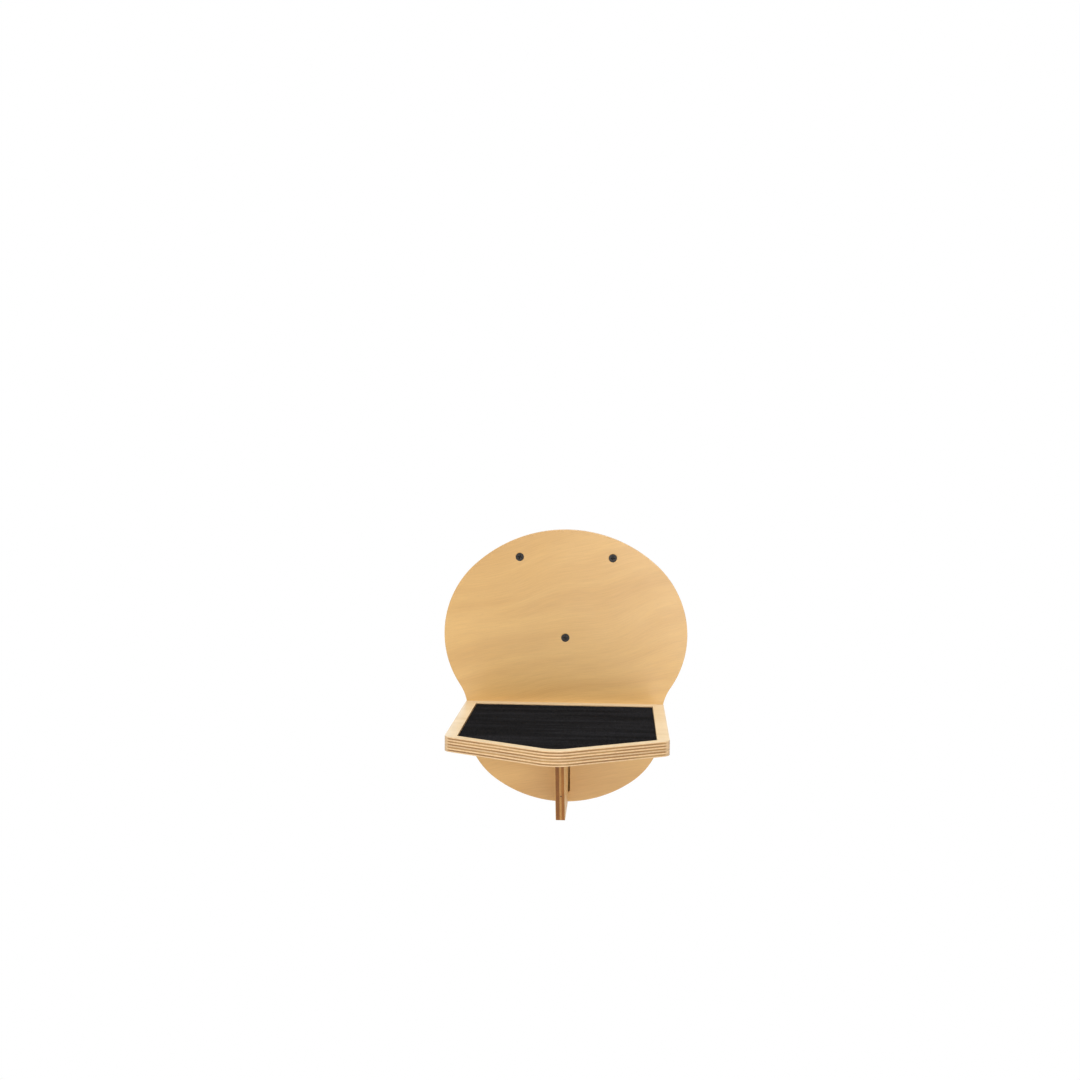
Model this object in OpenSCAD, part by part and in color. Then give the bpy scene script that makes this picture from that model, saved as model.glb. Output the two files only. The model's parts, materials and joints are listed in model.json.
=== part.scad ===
// Wall-mounted plywood step for climbing pets: a pointed shelf with an inset carpet,
// carried by a rounded wall plate and a thin upright fin.
// +Z is up, the wall is the plane y = 0, and the shelf points along -Y.
// The origin is the centre of the wall-screw circle, on the face that meets the wall.

/* [Shelf] */
// Width across the parallel sides
shelf_w = 221.5; // [180:0.5:260]
// Length of the parallel sides, from the wall plate to the front corners
shelf_side = 202; // [150:1:300]
// Angle between the two edges that meet at the nose
nose_angle = 120; // [100:1:150]
// Thickness of the shelf's plywood
shelf_t = 15; // [12:0.5:21]
// Rounding of the nose
nose_r = 32; // [22:1:45]
// Rounding of the two front corners
corner_r = 12; // [1:0.5:16]

/* [Carpet] */
// Bare wood left at the sides and the back of the carpet
mat_border = 12.5; // [8:0.5:18]
// Bare wood left along the two front edges
front_border = 9; // [6:0.5:18]
// Thickness of the carpet, pile and backing together
mat_t = 3; // [2:0.1:4]
// Gap between the carpet and the side of its pocket
mat_gap = 0.4; // [0.2:0.05:1]
// Depth of the pile's top below the shelf's top
mat_set = 0.2; // [0:0.1:0.8]
// Rounding of the pocket's corners
pocket_corner_r = 1.5; // [1:0.1:4]
// Thickness of the adhesive tape under the carpet
tape_t = 0.5; // [0.3:0.1:1]
// Width of a strip of tape
tape_w = 25; // [15:1:40]
// Length of a strip of tape
tape_l = 150; // [80:1:180]
// Distance from the middle strip of tape to each outer one
tape_pitch = 60; // [42:1:75]
// Distance from the back of the pocket to the strips of tape
tape_inset = 12; // [4:1:25]

/* [Wall plate] */
// Thickness of the wall plate's plywood
plate_t = 12; // [9:0.5:18]
// Width of the upper lobe, the widest part of the plate
plate_w = 272; // [250:1:284]
// Width of the lower lobe, about as wide as the shelf
foot_w = 220; // [200:1:228]
// Height of the whole plate
plate_h = 306.5; // [290:0.5:350]
// Depth of the plate's bottom below the shelf's top
plate_drop = 112.5; // [106:0.5:140]
// Distance from the upper lobe's widest line up to the plate's top
crown_h = 117; // [112:1:135]
// Distance from the lower lobe's widest line down to the plate's bottom
keel_h = 89; // [85:0.5:100]
// Distance of the side curves' centres from the centre line
lobe_x = 31; // [28:1:40]
// Radius of the hollow curve at the waist, above the shelf
waist_r = 50; // [20:1:90]

/* [Fin] */
// Thickness of the fin's plywood
fin_t = 10; // [6:0.5:12]
// Length of the fin's top edge, under the shelf
fin_top_l = 140; // [110:1:190]
// Length of the fin's bottom edge
fin_foot_l = 82; // [30:1:100]
// Gap between the fin and each side of the slot in the plate
slot_gap = 2; // [0.5:0.1:4]
// Distance from the plate's bottom up to the slot
slot_lift = 11; // [8:0.5:20]
// Distance from the shelf's underside down to the slot
slot_drop = 18; // [10:0.5:30]
// Rounding in the slot's corners, left by the cutter
slot_corner_r = 2; // [1:0.5:2.3]
// Thickness of the wood left behind the slot
slot_floor_t = 3; // [1.5:0.5:5]
// Distance from the slot's floor to the end of the fin's tenon
tenon_set = 0.5; // [0.2:0.1:2]

/* [Wall screws] */
// Diameter of the circle of wall-screw holes
wall_circle_d = 120; // [80:1:150]
// Number of wall screws, the first straight below the centre
wall_screw_n = 3; // [3:1:5]
// Height of the lowest wall screw above the shelf's top
wall_screw_rise = 73; // [50:1:80]
// Diameter of a wall-screw hole
wall_hole_d = 5; // [4:0.1:6.5]
// Diameter of its countersink at the front
wall_sink_d = 10; // [8:0.5:13]

/* [Fixings] */
// Diameter of the screws that hold the shelf to the plate
shelf_screw_d = 4.5; // [3.5:0.1:5]
// Length of the screws that hold the shelf to the plate
shelf_screw_l = 50; // [35:1:60]
// Distance of those screws from the centre line
shelf_screw_x = 36; // [20:1:50]
// Diameter of the dowels between the shelf and the plate
dowel_d = 6; // [5:0.5:8]
// Length of a dowel
dowel_l = 30; // [22:1:40]
// Depth of a dowel's hole in the plate
dowel_seat = 8; // [5:0.5:8.5]
// Distance of the dowels from the centre line
dowel_x = 78; // [65:1:88]
// Width of the chamfer on a dowel's ends
dowel_chamfer = 0.8; // [0.2:0.1:1.5]
// Number of glue grooves along a dowel
dowel_groove_n = 12; // [6:1:16]
// Radius of a glue groove
dowel_groove_r = 0.35; // [0.2:0.05:0.5]
// Diameter of the screws that hold the fin under the shelf
fin_screw_d = 3.5; // [3:0.1:4]
// Length of the screws that hold the fin under the shelf
fin_screw_l = 35; // [25:1:45]
// Distance from the plate to the first of the fin's screws
fin_screw_back = 30; // [15:1:40]
// Distance from the first of the fin's screws to the second
fin_screw_pitch = 72; // [40:1:85]
// Gap between a screw or a dowel and its hole
fit = 0.1; // [0.05:0.01:0.2]

/* [Hidden] */
$fn = 96;

birch = "burlywood";
past = 1; // how far a cut runs past a face

// Shelf: heights, and the places of its corners
shelf_top = -wall_circle_d / 2 - wall_screw_rise;
shelf_bottom = shelf_top - shelf_t;
pocket_depth = mat_t + tape_t + mat_set;
pocket_floor = shelf_top - pocket_depth;
edge_fix_z = (pocket_floor + shelf_bottom) / 2;
plate_front = -plate_t;
corner_y = plate_front - shelf_side;
nose_slope = 90 - nose_angle / 2; // angle from the X axis to a front edge

// Wall plate: heights and radii of its curves
plate_bottom = shelf_top - plate_drop;
plate_top = plate_bottom + plate_h;
upper_z = plate_top - crown_h;
foot_z = plate_bottom + keel_h;
upper_r = plate_w / 2 - lobe_x;
foot_r = foot_w / 2 - lobe_x;
crown_r = end_radius(upper_r, crown_h);
keel_r = end_radius(foot_r, keel_h);

// Fin and its slot
slot_w = fin_t + 2 * slot_gap;
slot_round = min(slot_corner_r, slot_gap); // stays clear of the tenon's corners
slot_bottom = plate_bottom + slot_lift;
slot_top = shelf_bottom - slot_drop;

// Wood screws, as shares of the shank's diameter
head_share = 2;
core_share = 0.66;
plain_share = 0.3; // plain part of a screw, as a share of its length
thread_pitch_share = 0.45;
thread_root_share = 0.5; // where a thread's root ends, as a share of the pitch
thread_crest_share = 0.8; // where its crest is
head_rim = 0.3; // flat edge of a screw's head
head_set = 0.3; // depth of a screw's head below the surface
recess_share = 0.5; // cross recess, as a share of the head's diameter
recess_w = 0.9;
recess_depth_share = 0.5;

// Radius of the end curve that meets, with no corner, two side curves of radius r whose
// centres stand lobe_x from the centre line; h is the end's distance from those centres
function end_radius(r, h) = (pow(lobe_x, 2) + pow(h, 2) - pow(r, 2)) / (2 * (h - r));

// Point at distance r and angle a from the point c
function polar(c, r, a) = [c[0] + r * cos(a), c[1] + r * sin(a)];

// Pie slice of a disc, for slices under a half turn; the far corners stand clear of the disc
module sector(c, r, a0, a1) {
    intersection() {
        translate(c) circle(r);
        polygon([c, polar(c, 2 * r, a0), polar(c, 3 * r, (a0 + a1) / 2), polar(c, 2 * r, a1)]);
    }
}

// The shelf's outline, seen from above, drawn in by inset at the sides and the back, and by
// front_inset along the two front edges
module home_plate(inset, front_inset, front_r, tip_r) {
    half = shelf_w / 2 - inset;
    back = plate_front - inset;
    // where the drawn-in front edge meets the drawn-in side
    bend_y = corner_y + (front_inset - inset * sin(nose_slope)) / cos(nose_slope);
    front = [half - front_r, bend_y + front_r * (1 - sin(nose_slope)) / cos(nose_slope)];
    tip = [0, bend_y + (tip_r - half * sin(nose_slope)) / cos(nose_slope)];
    right = [polar(tip, tip_r, nose_slope - 90), polar(front, front_r, nose_slope - 90),
             [half, front[1]], [half, back]];
    left = [for (i = [len(right) - 1:-1:0]) [-right[i][0], right[i][1]]];
    polygon(concat(left, right)); // anticlockwise, as the slices are
    sector(tip, tip_r, -90 - nose_slope, nose_slope - 90);
    sector(front, front_r, nose_slope - 90, 0);
    sector([-front[0], front[1]], front_r, -180, -90 - nose_slope);
}

// The wall plate's outline, seen from the front: two ovals, joined by a hollow waist
module plate_outline() {
    crown = [0, plate_top - crown_r];
    keel = [0, plate_bottom + keel_r];
    crown_a = atan2(upper_z - crown[1], lobe_x);
    keel_a = atan2(keel[1] - foot_z, lobe_x);
    // centre of the hollow curve on the right, and where it meets the two side curves
    reach = [foot_r + waist_r, upper_r + waist_r];
    span = upper_z - foot_z;
    rise = (pow(reach[0], 2) - pow(reach[1], 2) + pow(span, 2)) / (2 * span);
    waist = [lobe_x + sqrt(pow(reach[0], 2) - pow(rise, 2)), foot_z + rise];
    low = polar([lobe_x, foot_z], foot_r, asin(rise / reach[0]));
    high = polar([lobe_x, upper_z], upper_r, asin((rise - span) / reach[1]));

    sector(crown, crown_r, crown_a, 180 - crown_a);
    sector(keel, keel_r, -180 + keel_a, -keel_a);
    for (side = [-1, 1]) {
        translate([side * lobe_x, upper_z]) circle(upper_r);
        translate([side * lobe_x, foot_z]) circle(foot_r);
    }
    difference() {
        polygon([low, high, [-high[0], high[1]], [-low[0], low[1]]]);
        for (side = [-1, 1]) translate([side * waist[0], waist[1]]) circle(waist_r);
    }
}

// Things along the back edge of the shelf, at x and at the middle of the wood there,
// turned so that their own -Z runs along -Y, away from the wall
module at_back_edge(x) {
    for (side = [-1, 1]) translate([side * x, 0, edge_fix_z]) rotate([-90, 0, 0]) children();
}

// Things at the two fin screws, at the floor of the carpet's pocket
module at_fin_screws() {
    for (i = [0, 1])
        translate([0, plate_front - fin_screw_back - i * fin_screw_pitch, pocket_floor])
            children();
}

// Wood screw pointing along -Z, its head just under z = 0
module wood_screw(d, l) {
    r = d / 2;
    core = r * core_share;
    head = r * head_share;
    neck = -head_set - head_rim - (head - r);
    thread_top = -head_set - l * plain_share;
    pitch = d * thread_pitch_share;
    turns = floor((l * (1 - plain_share) - d) / pitch);
    difference() {
        rotate_extrude() polygon(concat(
            [[0, -head_set], [head, -head_set], [head, -head_set - head_rim], [r, neck],
             [r, thread_top]],
            [for (i = [0:turns - 1]) each [
                [core, thread_top - i * pitch],
                [core, thread_top - (i + thread_root_share) * pitch],
                [r, thread_top - (i + thread_crest_share) * pitch]]],
            [[core, thread_top - turns * pitch], [0, -head_set - l]]));
        for (a = [0, 90])
            rotate([0, 0, a])
                translate([0, 0, -head_set])
                    cube([head * 2 * recess_share, recess_w, head * recess_depth_share * 2],
                         center = true);
    }
}

// Hole for that screw: a bore as deep as the screw, and a countersink for its head
module screw_hole(d, l) {
    r = d / 2 + fit;
    head = d / 2 * head_share + fit;
    translate([0, 0, -l - head_set - past]) cylinder(r = r, h = l + head_set + 2 * past);
    translate([0, 0, -head_set - head_rim - fit - (head - r)])
        cylinder(r1 = r, r2 = head, h = head - r);
    translate([0, 0, -head_set - head_rim - fit])
        cylinder(r = head, h = head_set + head_rim + fit + past);
}

// Glued dowel along -Z, from z = 0
module dowel() {
    r = dowel_d / 2;
    difference() {
        rotate_extrude() polygon([[0, 0], [r - dowel_chamfer, 0], [r, -dowel_chamfer],
                                  [r, dowel_chamfer - dowel_l], [r - dowel_chamfer, -dowel_l],
                                  [0, -dowel_l]]);
        for (i = [0:dowel_groove_n - 1])
            rotate([0, 0, i * 360 / dowel_groove_n])
                translate([r, 0, -dowel_l - past])
                    cylinder(r = dowel_groove_r, h = dowel_l + 2 * past);
    }
}

// Blind slot in the plate, seen from the front
module slot_outline() {
    half = slot_w / 2 - slot_round;
    for (x = [-half, half], z = [slot_bottom + slot_round, slot_top - slot_round])
        translate([x, z]) circle(slot_round);
    translate([-slot_w / 2, slot_bottom + slot_round])
        square([slot_w, slot_top - slot_bottom - 2 * slot_round]);
    translate([-half, slot_bottom]) square([2 * half, slot_top - slot_bottom]);
}

module wall_plate() {
    color(birch) difference() {
        rotate([90, 0, 0]) linear_extrude(plate_t) plate_outline();
        translate([0, -slot_floor_t, 0]) rotate([90, 0, 0])
            linear_extrude(plate_t - slot_floor_t + past) slot_outline();
        at_back_edge(shelf_screw_x) screw_hole(shelf_screw_d, shelf_screw_l);
        at_back_edge(dowel_x)
            translate([0, 0, -plate_t - past])
                cylinder(r = dowel_d / 2 + fit, h = dowel_seat + past);
        for (i = [0:wall_screw_n - 1])
            rotate([0, i * 360 / wall_screw_n, 0])
                translate([0, past, -wall_circle_d / 2])
                    rotate([90, 0, 0]) wall_hole();
    }
}

// Countersunk hole for a wall screw, cut from behind the plate towards the room
module wall_hole() {
    sink = (wall_sink_d - wall_hole_d) / 2;
    cylinder(d = wall_hole_d, h = plate_t + 2 * past);
    translate([0, 0, plate_t + past - sink])
        cylinder(d1 = wall_hole_d, d2 = wall_sink_d, h = sink);
    translate([0, 0, plate_t + past]) cylinder(d = wall_sink_d, h = past);
}

module shelf_board() {
    color("wheat") difference() {
        translate([0, 0, shelf_bottom]) linear_extrude(shelf_t) home_plate(0, 0, corner_r, nose_r);
        translate([0, 0, pocket_floor]) linear_extrude(pocket_depth + past)
            home_plate(mat_border, front_border, pocket_corner_r, nose_r - front_border);
        at_back_edge(shelf_screw_x) screw_hole(shelf_screw_d, shelf_screw_l);
        at_back_edge(dowel_x)
            translate([0, 0, -plate_t + dowel_seat - dowel_l - past])
                cylinder(r = dowel_d / 2 + fit, h = dowel_l + past);
        at_fin_screws() screw_hole(fin_screw_d, fin_screw_l);
    }
}

module support_fin() {
    foot = plate_front - fin_foot_l;
    tenon_end = -slot_floor_t - tenon_set;
    color(birch) difference() {
        rotate([90, 0, 90]) linear_extrude(fin_t, center = true)
            polygon([[plate_front, shelf_bottom], [plate_front - fin_top_l, shelf_bottom],
                     [foot, plate_bottom], [plate_front, plate_bottom],
                     [plate_front, slot_bottom], [tenon_end, slot_bottom],
                     [tenon_end, slot_top], [plate_front, slot_top]]);
        at_fin_screws() screw_hole(fin_screw_d, fin_screw_l);
    }
}

module carpet_mat() {
    front = front_border + mat_gap;
    color("#262427") translate([0, 0, pocket_floor + tape_t])
        linear_extrude(mat_t)
            home_plate(mat_border + mat_gap, front, pocket_corner_r, nose_r - front);
}

module mat_tape_strips() {
    back = plate_front - mat_border - tape_inset;
    color("ivory") for (i = [-1:1])
        translate([i * tape_pitch - tape_w / 2, back - tape_l, pocket_floor])
            cube([tape_w, tape_l, tape_t]);
}

module shelf_screws() {
    color("silver") at_back_edge(shelf_screw_x) wood_screw(shelf_screw_d, shelf_screw_l);
}

module shelf_dowels() {
    color("tan") at_back_edge(dowel_x) translate([0, 0, -plate_t + dowel_seat]) dowel();
}

module fin_screws() {
    color("silver") at_fin_screws() wood_screw(fin_screw_d, fin_screw_l);
}

wall_plate();
shelf_board();
support_fin();
carpet_mat();
mat_tape_strips();
shelf_screws();
shelf_dowels();
fin_screws();
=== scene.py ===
"""The looks of a wall-mounted plywood step with an inset carpet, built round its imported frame.

The plywood boards, the fixings and the tape are the frame's own nodes, with eased edges and new
finishes. The carpet and the three wall screws are modelled here.
"""

import json
import logging
import math
from dataclasses import dataclass
from enum import Enum
from typing import Optional, Sequence, Union

import bmesh
import bpy
from bpy.types import Material, Mesh, Node, NodeSocket as Socket, NodeTree, Object
from mathutils import Matrix, Vector, noise


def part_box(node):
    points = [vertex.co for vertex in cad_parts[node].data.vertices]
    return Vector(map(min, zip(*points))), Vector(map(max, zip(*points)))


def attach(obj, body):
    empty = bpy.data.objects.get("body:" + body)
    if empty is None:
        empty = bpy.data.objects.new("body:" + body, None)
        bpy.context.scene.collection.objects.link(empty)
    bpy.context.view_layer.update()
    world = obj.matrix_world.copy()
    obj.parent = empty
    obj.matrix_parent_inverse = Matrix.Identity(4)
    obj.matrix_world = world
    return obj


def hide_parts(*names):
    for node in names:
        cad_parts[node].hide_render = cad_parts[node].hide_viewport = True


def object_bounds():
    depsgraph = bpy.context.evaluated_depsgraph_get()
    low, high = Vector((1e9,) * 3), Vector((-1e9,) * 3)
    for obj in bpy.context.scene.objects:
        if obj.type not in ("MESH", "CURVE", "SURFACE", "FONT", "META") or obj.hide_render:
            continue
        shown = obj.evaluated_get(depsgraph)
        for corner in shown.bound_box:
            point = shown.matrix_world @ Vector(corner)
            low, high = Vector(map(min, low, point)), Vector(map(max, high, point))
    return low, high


log = logging.getLogger("climbing_step")

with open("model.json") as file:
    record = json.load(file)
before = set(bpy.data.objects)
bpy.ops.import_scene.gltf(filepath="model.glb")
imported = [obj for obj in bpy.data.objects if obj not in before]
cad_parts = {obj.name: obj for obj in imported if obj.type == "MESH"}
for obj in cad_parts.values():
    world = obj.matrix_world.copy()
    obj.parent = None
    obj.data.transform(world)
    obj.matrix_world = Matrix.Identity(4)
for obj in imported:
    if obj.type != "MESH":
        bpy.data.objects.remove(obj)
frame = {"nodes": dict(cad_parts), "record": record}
cad_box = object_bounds()

MM = 0.001
ROOT = "root"
CORNER_PLACES = 6  # decimal places of a metre, by which an outline's corners are told apart
POINT_PLACES = 7  # the same for the points of a build

Colour = tuple[float, float, float]
Place = tuple[float, float, float]
Stretch = tuple[float, float, float]  # how many features noise has in a metre, along each axis
Ramp = tuple[float, ...]  # where a soft step starts and ends, then its results if not 0 and 1
Value = Union[float, Sequence[float], Socket]
Inputs = dict[Union[int, str], Value]  # by a socket's number or name

WHITE: Colour = (1.0, 1.0, 1.0)


class Axis(Enum):
    """An axis of the frame, by its place in a vector."""

    X = 0
    Y = 1
    Z = 2


class Kind(Enum):
    """The kinds of socket on a node group, by Blender's names for them."""

    NUMBER = "NodeSocketFloat"
    COUNT = "NodeSocketInt"
    VECTOR = "NodeSocketVector"
    COLOUR = "NodeSocketColor"
    SHAPE = "NodeSocketGeometry"
    FINISH = "NodeSocketMaterial"


@dataclass(frozen=True)
class Graph:
    """Adds and joins nodes in one node tree, with short calls."""

    tree: NodeTree

    def add(self, kind: str, inputs: Optional[Inputs] = None, **settings: object) -> Node:
        """Adds a node, sets it up and feeds its inputs.

        Args:
            kind: Blender's name for the node's type.
            inputs: A value or a socket for each input.
            **settings: The node's own settings.

        Returns:
            The new node.
        """
        node = self.tree.nodes.new(kind)
        for name, setting in settings.items():
            setattr(node, name, setting)
        self.feed(node, inputs or {})
        return node

    def feed(self, node: Node, inputs: Inputs) -> None:
        """Sets or links a node's inputs.

        Args:
            node: The node.
            inputs: A value or a socket for each input.
        """
        for key, value in inputs.items():
            if isinstance(value, Socket):
                self.tree.links.new(value, node.inputs[key])
            else:
                node.inputs[key].default_value = value

    def out(self, kind: str, inputs: Inputs, **settings: object) -> Socket:
        """Adds a node, and gives its first output."""
        return self.add(kind, inputs, **settings).outputs[0]

    def math(self, operation: str, *terms: Value) -> Socket:
        """Works out one sum, by Blender's name for it."""
        return self.out("ShaderNodeMath", dict(enumerate(terms)), operation=operation)

    def vector(self, operation: str, *terms: Value) -> Socket:
        """Works out one sum on vectors, by Blender's name for it."""
        return self.out("ShaderNodeVectorMath", dict(enumerate(terms)), operation=operation)

    def distance(self, first: Value, second: Value) -> Socket:
        """Measures how far one place is from another."""
        apart = {0: self.vector("SUBTRACT", first, second)}
        return self.add("ShaderNodeVectorMath", apart, operation="LENGTH").outputs["Value"]

    def mix(self, factor: Value, first: Value, second: Value, way: str = "MIX") -> Socket:
        """Mixes two colours, with the factor as the share of the second."""
        inputs = {"Factor": factor, 6: first, 7: second}
        return self.add("ShaderNodeMix", inputs, data_type="RGBA", blend_type=way).outputs[2]

    def tinted(self, colour: Value, tint: Value) -> Socket:
        """Multiplies a colour by a tint."""
        return self.mix(1.0, colour, tint, "MULTIPLY")

    def shaded(self, colour: Value, shade: Socket) -> Socket:
        """Multiplies all parts of a colour by one number."""
        return self.tinted(colour, self.join(shade, shade, shade))

    def blend(self, factor: Value, first: Value, second: Value) -> Socket:
        """Mixes two vectors, with the factor as the share of the second."""
        inputs = {"Factor": factor, 4: first, 5: second}
        return self.add("ShaderNodeMix", inputs, data_type="VECTOR").outputs[1]

    def noise(self, place: Value, stretch: Stretch, detail: float = 2.0, roughness: float = 0.5,
              warp: float = 0.0) -> Socket:
        """Adds noise that runs along an axis.

        Args:
            place: Where the noise is read, in metres.
            stretch: How many features there are in a metre, along each axis.
            detail: How many finer layers it has.
            roughness: How strong the finer layers are.
            warp: How much it twists round itself.

        Returns:
            The noise's socket, from 0 to 1.
        """
        scaled = self.vector("MULTIPLY", place, stretch)
        return self.out("ShaderNodeTexNoise", {
            "Vector": scaled, "Scale": 1.0, "Detail": detail, "Roughness": roughness,
            "Distortion": warp})

    def step(self, value: Value, low: Value, high: Value, bottom: Value = 0.0, top: Value = 1.0,
             way: str = "SMOOTHSTEP") -> Socket:
        """Turns a value into a step, soft unless another way is given.

        Args:
            value: What is read.
            low: Where the step starts.
            high: Where it ends.
            bottom: The result before the step.
            top: The result after it.
            way: Blender's name for how it goes from one to the other.

        Returns:
            The result's socket.
        """
        return self.out("ShaderNodeMapRange", {
            "Value": value, "From Min": low, "From Max": high, "To Min": bottom, "To Max": top},
            interpolation_type=way)

    def split(self, vector: Value) -> tuple[Socket, Socket, Socket]:
        """Takes a vector apart into its three parts."""
        outputs = self.add("ShaderNodeSeparateXYZ", {0: vector}).outputs
        return outputs[0], outputs[1], outputs[2]

    def join(self, x: Value, y: Value, z: Value) -> Socket:
        """Makes a vector of three parts."""
        return self.out("ShaderNodeCombineXYZ", {0: x, 1: y, 2: z})

    def place(self) -> Socket:
        """Gives the place on the piece, in the frame's axes."""
        return self.add("ShaderNodeTexCoord").outputs["Object"]

    def bump(self, height: Socket, strength: float, distance: float) -> Socket:
        """Turns a height into a normal, with a height of 1 standing out by the distance."""
        inputs = {"Strength": strength, "Distance": distance, "Height": height}
        return self.out("ShaderNodeBump", inputs)


def rgba(colour: Colour) -> tuple[float, float, float, float]:
    """Gives a colour an alpha of 1."""
    return (*colour, 1.0)


def new_group(name: str, inputs: dict[str, Kind], outputs: dict[str, Kind],
              tree_kind: str = "ShaderNodeTree") -> tuple[Graph, dict[str, Socket], Node]:
    """Starts a node group with named inputs and outputs.

    Args:
        name: The group's name.
        inputs: The kind of each input, by its name.
        outputs: The kind of each output, by its name.
        tree_kind: Blender's name for the type of tree.

    Returns:
        A graph on the group's tree, its inputs' sockets, and the node that takes its results.
    """
    tree = bpy.data.node_groups.new(name, tree_kind)
    for way, kinds in (("INPUT", inputs), ("OUTPUT", outputs)):
        for label, kind in kinds.items():
            tree.interface.new_socket(label, in_out=way, socket_type=kind.value)
    entry = tree.nodes.new("NodeGroupInput")
    results = tree.nodes.new("NodeGroupOutput")
    return Graph(tree), {label: entry.outputs[label] for label in inputs}, results


def new_material(name: str) -> tuple[Material, Graph, Node]:
    """Starts a material with one Principled BSDF.

    Args:
        name: The material's name.

    Returns:
        The material, a graph on its tree, and the shader node.
    """
    material = bpy.data.materials.new(name)
    material.use_nodes = True
    material.node_tree.nodes.clear()
    graph = Graph(material.node_tree)
    shader = graph.add("ShaderNodeBsdfPrincipled")
    graph.add("ShaderNodeOutputMaterial", {"Surface": shader.outputs[0]})
    return material, graph, shader


def give_finish(piece: Object, material: Material) -> None:
    """Gives every slot of a piece one material.

    Args:
        piece: The piece.
        material: The material.
    """
    if not piece.material_slots:
        piece.data.materials.append(material)
    for slot in piece.material_slots:
        slot.material = material


@dataclass(frozen=True)
class BirchTints:
    """The colours of varnished birch plywood."""

    face_pale: Colour = (0.66, 0.40, 0.145)
    face_deep: Colour = (0.57, 0.325, 0.105)
    pore: Colour = (0.42, 0.24, 0.10)
    long_grain: Colour = (0.78, 0.53, 0.275)
    long_streak: Colour = (0.65, 0.415, 0.195)
    end_grain: Colour = (0.37, 0.195, 0.075)
    end_speck: Colour = (0.26, 0.13, 0.045)
    glue: Colour = (0.24, 0.12, 0.045)
    knot: Colour = (0.05, 0.02, 0.008)


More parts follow.
